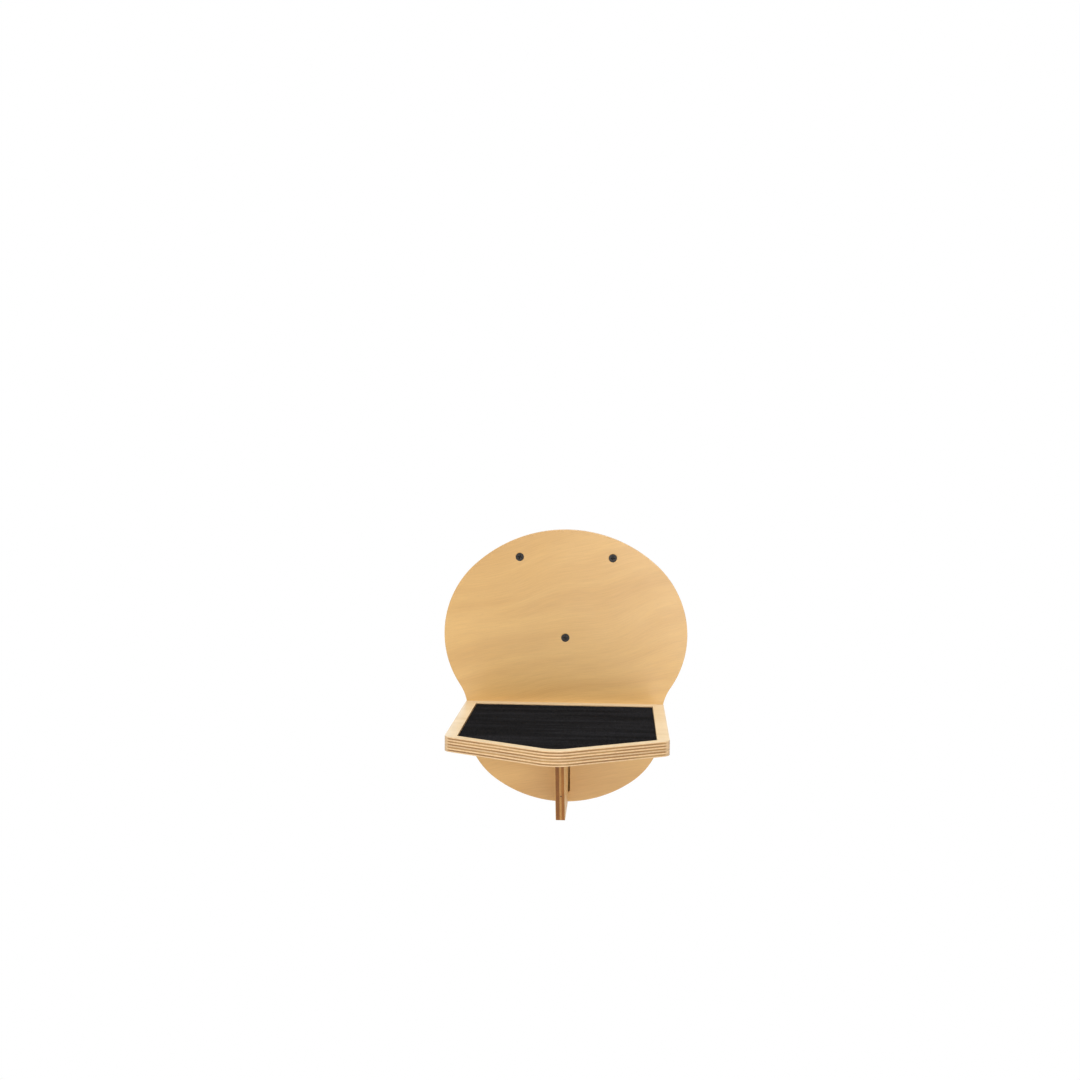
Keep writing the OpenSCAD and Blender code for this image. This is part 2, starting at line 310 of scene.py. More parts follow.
class PlywoodGroup:
    """The shader group that lays plywood through a whole board, faces and cut edges alike."""

    # Patterns, as features in a metre along the grain, across it and through the board.
    BEND = (5.0, 5.0, 5.0)
    FIGURE = (2.6, 30.0, 1.0)
    FIBRE = (40.0, 900.0, 900.0)
    PORE = (170.0, 2600.0, 2600.0)
    SPECK = (1500.0, 1500.0, 1500.0)
    WAVER = (28.0, 28.0, 28.0)
    DRIFT = (22.0, 22.0, 22.0)

    # Soft steps that tell the plies, the faces and the cuts apart.
    PLY_SHIFT = (0.2, 0.8, -0.09, 0.09)
    PLY_MARGIN = 0.001
    UPPER_SIDE = (-0.5, 0.5)
    IS_FACE = (0.3, 0.6)
    IS_DEEP = (1.0, 1.3)
    CUT_LENGTHWISE = (0.88, 1.0)
    CUT_CROSSWISE = (0.62, 0.84)

    # Soft steps for how much each pattern shows.
    BEND_SHIFT = (0.0, 1.0, -0.02, 0.02)
    FIGURE_SHOWS = (0.3, 0.72)
    FIBRE_SHADE = (0.25, 0.75, 0.95, 1.04)
    PORE_SHOWS = (0.66, 0.74, 0.0, 0.35)
    STREAK_SHOWS = (0.35, 0.75)
    SPECK_SHOWS = (0.35, 0.7)
    DRIFT_SHOWS = (0.4, 0.68, 0.0, 0.55)
    PLY_STRIDE = 0.37  # how far the drift's noise moves on from one ply to the next
    PLY_SHADE = (0.0, 1.0, 0.88, 1.08)
    GLUE_SHOWS = (0.43, 0.5, 0.0, 0.6)
    KNOT_SHOWS = (0.66 * MM, 1.2 * MM, 0.95, 0.0)

    # Soft steps for the roughness of the wood and for its varnish.
    ROUGHNESS = (0.0, 1.0, 0.58, 0.42)
    FIBRE_ROUGHNESS = (0.3, 0.7, 0.02, 0.1)
    COAT = (0.2, 0.8, 0.86, 1.0)
    COAT_ON_FACE = (0.2, 0.8, 0.2, 1.0)

    def __init__(self, tints: BirchTints) -> None:
        """Builds the group.

        Args:
            tints: The wood's colours.
        """
        self.tints = tints
        self.graph, self.given, results = new_group(
            "Plywood",
            {"Place": Kind.VECTOR, "Facing": Kind.VECTOR, "Layer": Kind.NUMBER,
             "Plies": Kind.NUMBER, "Low Face Tint": Kind.COLOUR, "High Face Tone And Painted Glare": Kind.COLOUR,
             "Edge Tint": Kind.COLOUR, "End Tint": Kind.COLOUR, "Knot": Kind.VECTOR,
             "Gloss": Kind.NUMBER},
            {"Color": Kind.COLOUR, "Roughness": Kind.NUMBER, "Height": Kind.NUMBER,
             "Varnish": Kind.NUMBER})
        graph, given = self.graph, self.given

        waver = graph.noise(given["Place"], self.WAVER, detail=1.0)
        layer = graph.math("ADD", given["Layer"], graph.step(waver, *self.PLY_SHIFT))
        last = graph.math("SUBTRACT", given["Plies"], self.PLY_MARGIN)
        layer = graph.math("MINIMUM", graph.math("MAXIMUM", layer, self.PLY_MARGIN), last)
        ply = graph.math("FLOOR", layer)
        crosswise = graph.math("FLOORED_MODULO", ply, 2.0)

        facing = graph.split(given["Facing"])[2]
        upright = graph.math("ABSOLUTE", facing)
        is_face = graph.step(upright, *self.IS_FACE)
        # The face that looks up can take its own paler tint: on the shelf this is painted glare,
        # the cream of a glancing reflection and strong top light, laid over the wood's tone.
        side = graph.step(facing, *self.UPPER_SIDE)
        tint = graph.mix(side, given["Low Face Tint"], given["High Face Tone And Painted Glare"])
        face = graph.tinted(self._face(), tint)
        edge = self._edge(ply, crosswise, graph.math("FRACT", layer))
        edge = graph.tinted(edge, given["Edge Tint"])
        height = graph.noise(self._along_grain(crosswise), self.FIBRE)
        matt = graph.step(height, *self.FIBRE_ROUGHNESS)

        # A face deeper than the outer ply is the floor of a recess, which stays bare.
        depth = graph.math("MINIMUM", layer, graph.math("SUBTRACT", given["Plies"], layer))
        bare = graph.math("MULTIPLY", is_face, graph.step(depth, *self.IS_DEEP))
        coat = graph.math("MULTIPLY", graph.step(waver, *self.COAT), given["Gloss"])
        coat = graph.math("MULTIPLY", coat, graph.math("SUBTRACT", 1.0, bare))
        graph.feed(results, {
            "Color": self._knotted(graph.mix(is_face, edge, face)),
            "Roughness": graph.math("ADD", graph.step(is_face, *self.ROUGHNESS), matt),
            "Height": height,
            "Varnish": graph.math("MULTIPLY", graph.step(upright, *self.COAT_ON_FACE), coat)})

    def _along_grain(self, crosswise: Socket) -> Socket:
        """Turns the place so that X runs along its ply's grain, which may lie crosswise."""
        x, y, z = self.graph.split(self.given["Place"])
        return self.graph.blend(crosswise, self.graph.join(x, y, z), self.graph.join(y, x, z))

    def _face(self) -> Socket:
        """Draws a rotary-cut face: broad soft streaks, fine fibres and short pores.

        Returns:
            The face's colour.
        """
        graph, place = self.graph, self.given["Place"]
        bend = graph.step(graph.noise(place, self.BEND, detail=1.0), *self.BEND_SHIFT)
        bent = graph.vector("ADD", place, graph.join(0.0, bend, 0.0))
        figure = graph.noise(bent, self.FIGURE, detail=3.0, roughness=0.55, warp=0.35)
        colour = graph.mix(graph.step(figure, *self.FIGURE_SHOWS), rgba(self.tints.face_pale),
                           rgba(self.tints.face_deep))
        fibre = graph.step(graph.noise(bent, self.FIBRE), *self.FIBRE_SHADE)
        pores = graph.step(graph.noise(place, self.PORE, detail=1.0), *self.PORE_SHOWS)
        return graph.mix(pores, graph.shaded(colour, fibre), rgba(self.tints.pore))

    def _edge(self, ply: Socket, crosswise: Socket, within: Socket) -> Socket:
        """Draws a cut edge: plies that show long grain or end grain, with glue lines between.

        Args:
            ply: Which ply this is, counted through the board.
            crosswise: 1 where the ply's grain runs across the face's, and otherwise 0.
            within: How far through its ply this is, from 0 to 1.

        Returns:
            The edge's colour.
        """
        graph, place, tints = self.graph, self.given["Place"], self.tints
        facing_x, facing_y, _ = graph.split(self.given["Facing"])
        cut_lengthwise = graph.step(graph.math("ABSOLUTE", facing_x), *self.CUT_LENGTHWISE)
        cut_crosswise = graph.step(graph.math("ABSOLUTE", facing_y), *self.CUT_CROSSWISE)
        lengthwise = graph.math("SUBTRACT", 1.0, crosswise)
        is_end = graph.math("ADD", graph.math("MULTIPLY", cut_crosswise, crosswise),
                            graph.math("MULTIPLY", cut_lengthwise, lengthwise))
        streaks = graph.noise(self._along_grain(crosswise), self.FIBRE, detail=3.0, roughness=0.6)
        long_grain = graph.mix(graph.step(streaks, *self.STREAK_SHOWS), rgba(tints.long_grain),
                               rgba(tints.long_streak))
        specks = graph.step(graph.noise(place, self.SPECK), *self.SPECK_SHOWS)
        end_grain = graph.mix(specks, rgba(tints.end_grain), rgba(tints.end_speck))
        x, y, _ = graph.split(place)
        own = graph.join(x, y, graph.math("MULTIPLY", ply, self.PLY_STRIDE))
        drift = graph.step(graph.noise(own, self.DRIFT), *self.DRIFT_SHOWS)
        end_grain = graph.mix(drift, end_grain, rgba(tints.long_streak))
        end_grain = graph.tinted(end_grain, self.given["End Tint"])
        chance = graph.add("ShaderNodeTexWhiteNoise", {"W": ply}, noise_dimensions="1D")
        colour = graph.shaded(graph.mix(is_end, long_grain, end_grain),
                              graph.step(chance.outputs["Value"], *self.PLY_SHADE))
        from_middle = graph.math("ABSOLUTE", graph.math("SUBTRACT", within, 0.5))
        return graph.mix(graph.step(from_middle, *self.GLUE_SHOWS), colour, rgba(tints.glue))

    def _knotted(self, colour: Socket) -> Socket:
        """Sets one small dark knot into the wood's colour."""
        reach = self.graph.distance(self.given["Place"], self.given["Knot"])
        return self.graph.mix(self.graph.step(reach, *self.KNOT_SHOWS), colour,
                              rgba(self.tints.knot))


def even_plies(count: int, skin: float = 0.8) -> tuple[float, ...]:
    """Lays out equal plies as shares of a board, the outer two thinner by the skin's factor."""
    parts = [skin, *[1.0] * (count - 2), skin]
    return tuple(part / sum(parts) for part in parts)


@dataclass
class PlywoodBoard:
    """One plywood board of the frame, with eased edges and plies that run through it."""

    node: str
    along: Axis
    across: Axis
    through: Axis
    plies: tuple[float, ...]
    ease: float
    grain_turn: float = 0.0
    low_face_tint: Colour = WHITE
    # The tint of the face that looks up: the wood's tone, and on the shelf also painted glare.
    high_face_tone_and_painted_glare: Colour = WHITE
    edge_tint: Colour = WHITE
    end_tint: Colour = WHITE
    gloss: float = 1.0
    knot: Place = (1.0, 1.0, 1.0)  # far from the board, unless it has one
    relief: float = 0.06 * MM
    coat_roughness: float = 0.26

    def dress(self, plywood: PlywoodGroup) -> None:
        """Eases the board's edges and gives it its wood.

        Args:
            plywood: The shader group that draws the plies.
        """
        board = frame["nodes"][self.node]
        low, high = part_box(self.node)
        thickness = high[self.through.value] - low[self.through.value]
        material, graph, shader = new_material(f"birch_{self.node}")
        coordinates = graph.add("ShaderNodeTexCoord").outputs
        wood = graph.add("ShaderNodeGroup", node_tree=plywood.graph.tree)
        graph.feed(wood, {
            "Place": self._turned(graph, coordinates["Object"], low),
            "Facing": self._turned(graph, coordinates["Normal"], Vector()),
            "Layer": self._layer(graph, coordinates["Object"], low, thickness),
            "Knot": self._turned(graph, self.knot, low), "Plies": len(self.plies),
            "Gloss": self.gloss, "Low Face Tint": rgba(self.low_face_tint),
            "High Face Tone And Painted Glare": rgba(self.high_face_tone_and_painted_glare), "Edge Tint": rgba(self.edge_tint),
            "End Tint": rgba(self.end_tint)})
        graph.feed(shader, {
            "Base Color": wood.outputs["Color"], "Roughness": wood.outputs["Roughness"],
            "Coat Weight": wood.outputs["Varnish"], "Coat Roughness": self.coat_roughness,
            "Normal": graph.bump(wood.outputs["Height"], strength=0.5, distance=self.relief)})
        give_finish(board, material)
        ease_edges(board, self.ease)
        log.info("%s: %d plies, %.1f mm", self.node, len(self.plies), thickness / MM)

    def _layer(self, graph: Graph, place: Socket, low: Vector, thickness: float) -> Socket:
        """Counts the plies up to a place, with each ply's own thickness.

        Args:
            graph: The material's graph.
            place: The place, in the frame's axes.
            low: The board's lowest corner.
            thickness: The board's thickness.

        Returns:
            The number of plies passed, with the share of the one that it lies in.
        """
        axis = self.through.value
        depth = graph.math("SUBTRACT", graph.split(place)[axis], low[axis])
        share = graph.math("DIVIDE", depth, thickness)
        curve = graph.add("ShaderNodeFloatCurve", {"Value": share})
        points = curve.mapping.curves[0].points
        passed = 0.0
        for number, part in enumerate(self.plies[:-1], start=1):
            passed += part
            points.new(passed, number / len(self.plies))
        for point in points:
            point.handle_type = "VECTOR"
        curve.mapping.update()
        return graph.math("MULTIPLY", curve.outputs[0], float(len(self.plies)))

    def _turned(self, graph: Graph, vector: Value, origin: Vector) -> Socket:
        """Turns a place or a direction into the board's own axes.

        Args:
            graph: The material's graph.
            vector: The place or the direction, in the frame's axes.
            origin: The place that becomes zero.

        Returns:
            The vector with the grain along X and the thickness along Z.
        """
        parts = graph.split(graph.vector("SUBTRACT", vector, tuple(origin)))
        own = graph.join(*(parts[axis.value] for axis in (self.along, self.across, self.through)))
        turn = graph.add("ShaderNodeVectorRotate", {"Vector": own, "Angle": self.grain_turn},
                         rotation_type="Z_AXIS")
        return turn.outputs[0]


def ease_edges(piece: Object, width: float) -> None:
    """Rounds a board's sharp edges a little, as sandpaper does.

    Args:
        piece: The board.
        width: How far in from the edge the rounding starts, in metres.
    """
    steps = (
        ("weld", "WELD", {"merge_threshold": 0.002 * MM}),
        ("flatten", "DECIMATE", {"decimate_type": "DISSOLVE", "angle_limit": math.radians(0.2)}),
        ("ease", "BEVEL", {
            "width": width, "segments": 3, "limit_method": "ANGLE",
            "angle_limit": math.radians(40), "miter_outer": "MITER_ARC"}),
        ("normals", "WEIGHTED_NORMAL", {}))
    for name, kind, settings in steps:
        modifier = piece.modifiers.new(name, kind)
        for setting, value in settings.items():
            setattr(modifier, setting, value)


def stand(data: bpy.types.ID, place: Matrix = Matrix()) -> Object:
    """Adds an object to the scene, under its data's name.

    Args:
        data: A mesh, a camera or a lamp.
        place: Where it stands and how it is turned, unless its mesh says so.

    Returns:
        The object.
    """
    thing = bpy.data.objects.new(data.name, data)
    thing.matrix_world = place
    bpy.context.scene.collection.objects.link(thing)
    return thing


def settled(build: bmesh.types.BMesh, name: str) -> Mesh:
    """Turns a build into a mesh whose points and faces come in the same order in each run.

    Args:
        build: The build, which is freed.
        name: The mesh's name.

    Returns:
        The mesh.
    """
    order = sorted(build.verts, key=lambda v: tuple(round(part, POINT_PLACES) for part in v.co))
    numbers = {vertex: number for number, vertex in enumerate(order)}
    faces = []
    for face in build.faces:
        corners = [numbers[vertex] for vertex in face.verts]
        first = corners.index(min(corners))
        faces.append(corners[first:] + corners[:first])
    mesh = bpy.data.meshes.new(name)
    mesh.from_pydata([vertex.co.copy() for vertex in order], [], sorted(faces))
    build.free()
    return mesh


def grown(source: Object, tree: NodeTree,
          values: dict[str, object], name: str) -> Object:
    """Runs a geometry tree on a piece and keeps the result as a plain new piece.

    Args:
        source: The piece that the tree starts from; it is left as it is.
        tree: The tree.
        values: The tree's inputs, by name.
        name: The new piece's name.

    Returns:
        The new piece.
    """
    modifier = source.modifiers.new("grow", "NODES")
    modifier.node_group = tree
    for item in tree.interface.items_tree:
        if item.in_out == "INPUT" and item.name in values:
            modifier[item.identifier] = values[item.name]
    depsgraph = bpy.context.evaluated_depsgraph_get()
    mesh = bpy.data.meshes.new_from_object(source.evaluated_get(depsgraph))
    source.modifiers.remove(modifier)
    mesh.name = name
    return stand(mesh)


class PileTree:
    """The geometry tree that plants tufts on the upward faces of a carpet's backing."""

    TINT = "tuft_tint"
    STREAK = (7.0, 75.0, 75.0)  # as features in a metre
    STREAK_SIZE = (0.3, 0.7, 0.84, 1.06)
    SIZE = (0.78, 1.08)
    SIDES = 3
    FACES_UP = 0.98
    MOST = 2.6e6  # in a square metre, before the spacing thins them

    def __init__(self) -> None:
        """Builds the tree."""
        self.graph, given, results = new_group(
            "Carpet pile",
            {"Backing": Kind.SHAPE, "Spacing": Kind.NUMBER, "Height": Kind.NUMBER,
             "Width": Kind.NUMBER, "Lean": Kind.NUMBER, "Rib Pitch": Kind.NUMBER,
             "Rib Depth": Kind.NUMBER, "Seed": Kind.COUNT, "Finish": Kind.FINISH},
            {"Pile": Kind.SHAPE}, "GeometryNodeTree")
        graph = self.graph
        upward = graph.split(graph.out("GeometryNodeInputNormal", {}))[2]
        is_top = graph.out("FunctionNodeCompare", {0: upward, 1: self.FACES_UP},
                           operation="GREATER_THAN")
        points = graph.out("GeometryNodeDistributePointsOnFaces", {
            "Mesh": given["Backing"], "Selection": is_top, "Distance Min": given["Spacing"],
            "Density Max": self.MOST, "Seed": given["Seed"]}, distribute_method="POISSON")
        tuft = graph.out("GeometryNodeMeshCone", {
            "Vertices": self.SIDES, "Radius Top": 0.0, "Radius Bottom": given["Width"],
            "Depth": given["Height"]})
        lean = self._chance(graph.math("MULTIPLY", given["Lean"], -1.0), given["Lean"], 1)
        spin = self._chance(0.0, math.tau, 2)
        turn = graph.out("FunctionNodeEulerToRotation", {0: graph.join(lean, 0.0, spin)})
        size = self._chance(*self.SIZE, 3)
        place = graph.out("GeometryNodeInputPosition", {})
        streak = graph.step(graph.noise(place, self.STREAK), *self.STREAK_SIZE, "LINEAR")
        turns = graph.math("DIVIDE", graph.split(place)[1], given["Rib Pitch"])
        wave = graph.math("SINE", graph.math("MULTIPLY", turns, math.tau))
        valley = graph.math("SUBTRACT", 1.0, given["Rib Depth"])
        rib = graph.step(wave, -1.0, 1.0, valley, 1.0, "LINEAR")
        size = graph.math("MULTIPLY", graph.math("MULTIPLY", size, streak), rib)
        planted = graph.out("GeometryNodeInstanceOnPoints", {
            "Points": points, "Instance": tuft, "Rotation": turn, "Scale": size})
        tinted = graph.out("GeometryNodeStoreNamedAttribute", {
            "Geometry": planted, "Name": self.TINT, "Value": self._chance(0.0, 1.0, 4)},
            domain="INSTANCE")
        plain = graph.out("GeometryNodeRealizeInstances", {"Geometry": tinted})
        flat = graph.out("GeometryNodeSetShadeSmooth", {"Geometry": plain, 2: False})
        graph.feed(results, {"Pile": graph.out("GeometryNodeSetMaterial", {
            "Geometry": flat, "Material": given["Finish"]})})

    def _chance(self, low: Value, high: Value, seed: int) -> Socket:
        """Gives each tuft its own number from low to high, the same in each run."""
        return self.graph.add("FunctionNodeRandomValue", {2: low, 3: high, "Seed": seed}).outputs[1]


@dataclass(frozen=True)
class CarpetFinish:
    """The black yarn of the carpet's pile, and the felt that it stands on."""

    dark: Colour = (0.002, 0.0019, 0.0023)
    light: Colour = (0.047, 0.045, 0.0505)
    felt: Colour = (0.004, 0.0038, 0.0042)
    # painted shade: how dark the yarn is at its roots, as the shade between the tufts would make it
    painted_root_shade: float = 0.35
    tuft_share: float = 0.35  # of a tuft's tint, next to its streak's
    streak_shows: Ramp = (0.38, 0.64, 0.0, 0.65)
    fibre: Stretch = (5200.0, 5200.0, 1500.0)
    weave: float = 1400.0
    mottle: Stretch = (260.0, 260.0, 260.0)
    mottle_shows: Ramp = (0.3, 0.75)

    def pile(self, root: float, tip: float) -> Material:
        """Makes the pile's material.

        Args:
            root: The height of the tufts' roots, in metres.
            tip: The height of their tips.

        Returns:
            The material.
        """
        material, graph, shader = new_material("carpet_pile")
        place = graph.place()
        chance = graph.add("ShaderNodeAttribute", attribute_name=PileTree.TINT).outputs["Fac"]
        streak = graph.noise(place, PileTree.STREAK, detail=3.0)
        tint = graph.math("ADD", graph.math("MULTIPLY", chance, self.tuft_share),
                          graph.step(streak, *self.streak_shows))
        # Painted shade: the yarn darkens from the tips down to the roots, as the shade between the
        # tufts would.
        shade = graph.step(graph.split(place)[2], root, tip, self.painted_root_shade, 1.0)
        yarn = graph.mix(tint, rgba(self.dark), rgba(self.light))
        fibre = graph.noise(place, self.fibre)
        graph.feed(shader, {
            "Base Color": graph.shaded(yarn, shade), "Roughness": 0.9, "Specular IOR Level": 0.2,
            "Sheen Weight": 0.03, "Sheen Roughness": 0.5,
            "Normal": graph.bump(fibre, strength=0.6, distance=0.1 * MM)})
        return material

    def backing(self) -> Material:
        """Makes the backing's material.

        Returns:
            The material.
        """
        material, graph, shader = new_material("carpet_felt")
        place = graph.place()
        weave = graph.out("ShaderNodeTexVoronoi", {"Vector": place, "Scale": self.weave})
        mottle = graph.step(graph.noise(place, self.mottle, detail=4.0), *self.mottle_shows)
        graph.feed(shader, {
            "Base Color": graph.mix(mottle, rgba(self.felt), rgba(self.dark)), "Roughness": 0.95,
            "Specular IOR Level": 0.1,
            "Normal": graph.bump(weave, strength=0.7, distance=0.2 * MM)})
        return material


@dataclass
class Carpet:
    """The black short-pile carpet in the shelf's pocket: felt backing and tufts."""

    node: str = "carpet_mat"
    under: tuple[str, ...] = ("mat_tape_strips", "shelf_board")
    backing: float = 1.8 * MM
    rim: float = 0.5 * MM
    cell: float = 4.0 * MM
    sway: float = 0.12 * MM
    sway_features: float = 45.0  # in a metre
    sway_middle: float = 0.4
    tuft_height: float = 1.35 * MM
    tuft_width: float = 0.5 * MM
    spacing: float = 0.78 * MM
    lean: float = math.radians(24)
    rib_pitch: float = 5.0 * MM
    rib_depth: float = 0.45
    seed: int = 7
    slack: float = 0.01 * MM
    finish: CarpetFinish = CarpetFinish()

    def build(self) -> None:
        """Builds the backing and its pile in the place of the frame's plain mat."""
        low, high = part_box(self.node)
        outline = self._outline()
        backing = stand(self._backing_mesh(outline, low.z))
        give_finish(backing, self.finish.backing())
        root = low.z + self.backing
        pile = grown(backing, PileTree().graph.tree, {
            "Spacing": self.spacing, "Height": self.tuft_height, "Width": self.tuft_width,
            "Lean": self.lean, "Rib Pitch": self.rib_pitch, "Rib Depth": self.rib_depth,
            "Seed": self.seed,
            "Finish": self.finish.pile(root, root + self.tuft_height)}, "carpet_pile")
        for piece in (backing, pile):
            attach(piece, ROOT)
        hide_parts(self.node)
        area = self._flat_area(outline)
        log.info("carpet: %.4f m2, %d triangles of pile", area, len(pile.data.polygons))

    def _outline(self) -> list[Vector]:
        """Reads the mat's outline, which bulges everywhere, from its node.

        Returns:
            Its corners, anticlockwise.
        """
        points = [vertex.co for vertex in frame["nodes"][self.node].data.vertices]
        top = max(co.z for co in points) - self.slack
        around = {(round(co.x, CORNER_PLACES), round(co.y, CORNER_PLACES))
                  for co in points if co.z > top}
        corners = [Vector(corner) for corner in around]
        middle = sum(corners, Vector((0.0, 0.0))) / len(corners)
        return sorted(corners, key=lambda c: math.atan2(c.y - middle.y, c.x - middle.x))

    def _flat_area(self, outline: list[Vector]) -> float:
        """Works out the area inside an outline."""
        pairs = zip(outline, outline[1:] + outline[:1])
        return abs(sum(a.x * b.y - b.x * a.y for a, b in pairs)) / 2

    def _backing_mesh(self, outline: list[Vector], base: float) -> Mesh:
        """Builds the felt: a slab with a soft upper rim and a slightly uneven top.

        Args:
            outline: The mat's outline, anticlockwise.
            base: The height of its underside.

        Returns:
            The mesh.
        """
        build = bmesh.new()
        floor = build.faces.new([build.verts.new((c.x, c.y, base)) for c in outline])
        raised = bmesh.ops.extrude_face_region(build, geom=[floor], use_keep_orig=True)
        top = [part for part in raised["geom"] if isinstance(part, bmesh.types.BMVert)]
        bmesh.ops.translate(build, vec=(0.0, 0.0, self.backing), verts=top)
        build.normal_update()
        height = base + self.backing - self.slack
        rim = [edge for edge in build.edges if all(v.co.z > height for v in edge.verts)]
        bmesh.ops.bevel(build, geom=rim, offset=self.rim, segments=2, profile=0.5, affect="EDGES")
        self._slice(build, outline)
        for vertex in build.verts:
            if vertex.co.z > height:
                rise = noise.noise(vertex.co * self.sway_features) - self.sway_middle
                vertex.co.z += self.sway * rise
        bmesh.ops.recalc_face_normals(build, faces=build.faces)
        return settled(build, "carpet_backing")

    def _slice(self, build: bmesh.types.BMesh, outline: list[Vector]) -> None:
        """Cuts the slab into cells, so that its top can be uneven.

        Args:
            build: The slab.
            outline: The mat's outline.
        """
        for axis, normal in ((Axis.X, Vector((1.0, 0.0, 0.0))), (Axis.Y, Vector((0.0, 1.0, 0.0)))):
            ends = [corner[axis.value] for corner in outline]
            cuts = int((max(ends) - min(ends)) / self.cell)
            for cut in range(1, cuts):
                place = normal * (min(ends) + cut * (max(ends) - min(ends)) / cuts)
                geometry = [*build.verts, *build.edges, *build.faces]
                bmesh.ops.bisect_plane(build, geom=geometry, plane_co=place, plane_no=normal)


class ScrewRingTree:
    """The geometry tree that cuts cross recesses and sets screws round a circle."""

    WING_TAPER = 0.3
    SEED = 5

    def __init__(self) -> None:
        """Builds the tree."""
        self.graph, given, results = new_group(
            "Wall screw ring",
            {"Blank": Kind.SHAPE, "Count": Kind.COUNT, "Circle": Kind.NUMBER,
             "Recess Length": Kind.NUMBER, "Recess Width": Kind.NUMBER,
             "Recess Depth": Kind.NUMBER, "Face": Kind.NUMBER, "Finish": Kind.FINISH},
            {"Screws": Kind.SHAPE}, "GeometryNodeTree")
        graph = self.graph
        corner = math.sqrt(0.5)  # of a square with sides of 1
        wing = graph.out("GeometryNodeMeshCone", {
            "Vertices": 4, "Radius Top": corner, "Radius Bottom": self.WING_TAPER * corner,
            "Depth": 1.0})
        wing = self._moved(wing, Translation=(0.0, 0.0, -0.5), Rotation=(0.0, 0.0, math.pi / 4))
        deep = graph.math("MULTIPLY", given["Recess Depth"], 2.0)
        size = graph.join(given["Recess Length"], given["Recess Width"], deep)
        wing = self._moved(wing, Scale=size)
        wings = graph.add("GeometryNodeJoinGeometry")
        for turn in (0.0, math.pi / 2):
            graph.feed(wings, {0: self._moved(wing, Rotation=(0.0, 0.0, turn))})
        cutter = self._moved(wings.outputs[0], Translation=graph.join(0.0, 0.0, given["Face"]))
        cut = graph.out("GeometryNodeMeshBoolean", {
            "Mesh 1": given["Blank"], "Mesh 2": cutter, "Self Intersection": True},
            operation="DIFFERENCE", solver="EXACT")
        radius = graph.math("DIVIDE", given["Circle"], 2.0)
        circle = graph.out("GeometryNodeMeshCircle", {"Vertices": given["Count"], "Radius": radius})
        facing = self._moved(circle, Rotation=(math.pi / 2, math.pi / 2, 0.0))
        chance = graph.add("FunctionNodeRandomValue", {2: 0.0, 3: math.tau, "Seed": self.SEED})
        spin = graph.join(math.pi / 2, chance.outputs[1], 0.0)
        planted = graph.out("GeometryNodeInstanceOnPoints", {
            "Points": facing, "Instance": cut,
            "Rotation": graph.out("FunctionNodeEulerToRotation", {0: spin})})
        plain = graph.out("GeometryNodeRealizeInstances", {"Geometry": planted})
        graph.feed(results, {"Screws": graph.out("GeometryNodeSetMaterial", {
            "Geometry": plain, "Material": given["Finish"]})})

    def _moved(self, shape: Socket, **change: Value) -> Socket:
        """Moves, turns or scales a shape."""
        return self.graph.out("GeometryNodeTransform", {"Geometry": shape, **change})


class WearGroup:
    """The shader group that scuffs and mottles plated or blackened metal."""

    MOTTLE = (900.0, 900.0, 900.0)  # as features in a metre
    TURNED = (300.0, 9000.0, 300.0)
    WORN = (0.52, 0.72)
    TURNED_ROUGHNESS = (0.3, 0.7, 0.0, 0.14)

    def __init__(self) -> None:
        """Builds the group."""
        self.graph, given, results = new_group(
            "Handled metal",
            {"Place": Kind.VECTOR, "Plating": Kind.COLOUR, "Worn": Kind.COLOUR,
             "Wear": Kind.NUMBER, "Shine": Kind.NUMBER},
            {"Color": Kind.COLOUR, "Roughness": Kind.NUMBER, "Height": Kind.NUMBER})
        graph = self.graph
        mottle = graph.noise(given["Place"], self.MOTTLE, detail=4.0)
        turned = graph.noise(given["Place"], self.TURNED)
        worn = graph.math("MULTIPLY", graph.step(mottle, *self.WORN), given["Wear"])
        rough = graph.math("ADD", given["Shine"], graph.step(turned, *self.TURNED_ROUGHNESS))
        graph.feed(results, {"Color": graph.mix(worn, given["Plating"], given["Worn"]),
                             "Roughness": rough, "Height": graph.math("ADD", turned, mottle)})


@dataclass(frozen=True)
class MetalFinish:
    """A plated or blackened metal."""

    name: str
    plating: Colour
    worn: Colour
    wear: float
    shine: float
    metallic: float = 1.0

    def material(self, wear_group: WearGroup) -> Material:
        """Makes the metal's material.

        Args:
            wear_group: The shader group that scuffs it.

        Returns:
            The material.
        """
        material, graph, shader = new_material(self.name)
        wear = graph.add("ShaderNodeGroup", node_tree=wear_group.graph.tree)
        graph.feed(wear, {"Place": graph.place(), "Plating": rgba(self.plating),
                          "Worn": rgba(self.worn), "Wear": self.wear, "Shine": self.shine})
        graph.feed(shader, {
            "Base Color": wear.outputs["Color"], "Roughness": wear.outputs["Roughness"],
            "Metallic": self.metallic,
            "Normal": graph.bump(wear.outputs["Height"], strength=0.3, distance=0.02 * MM)})
        return material


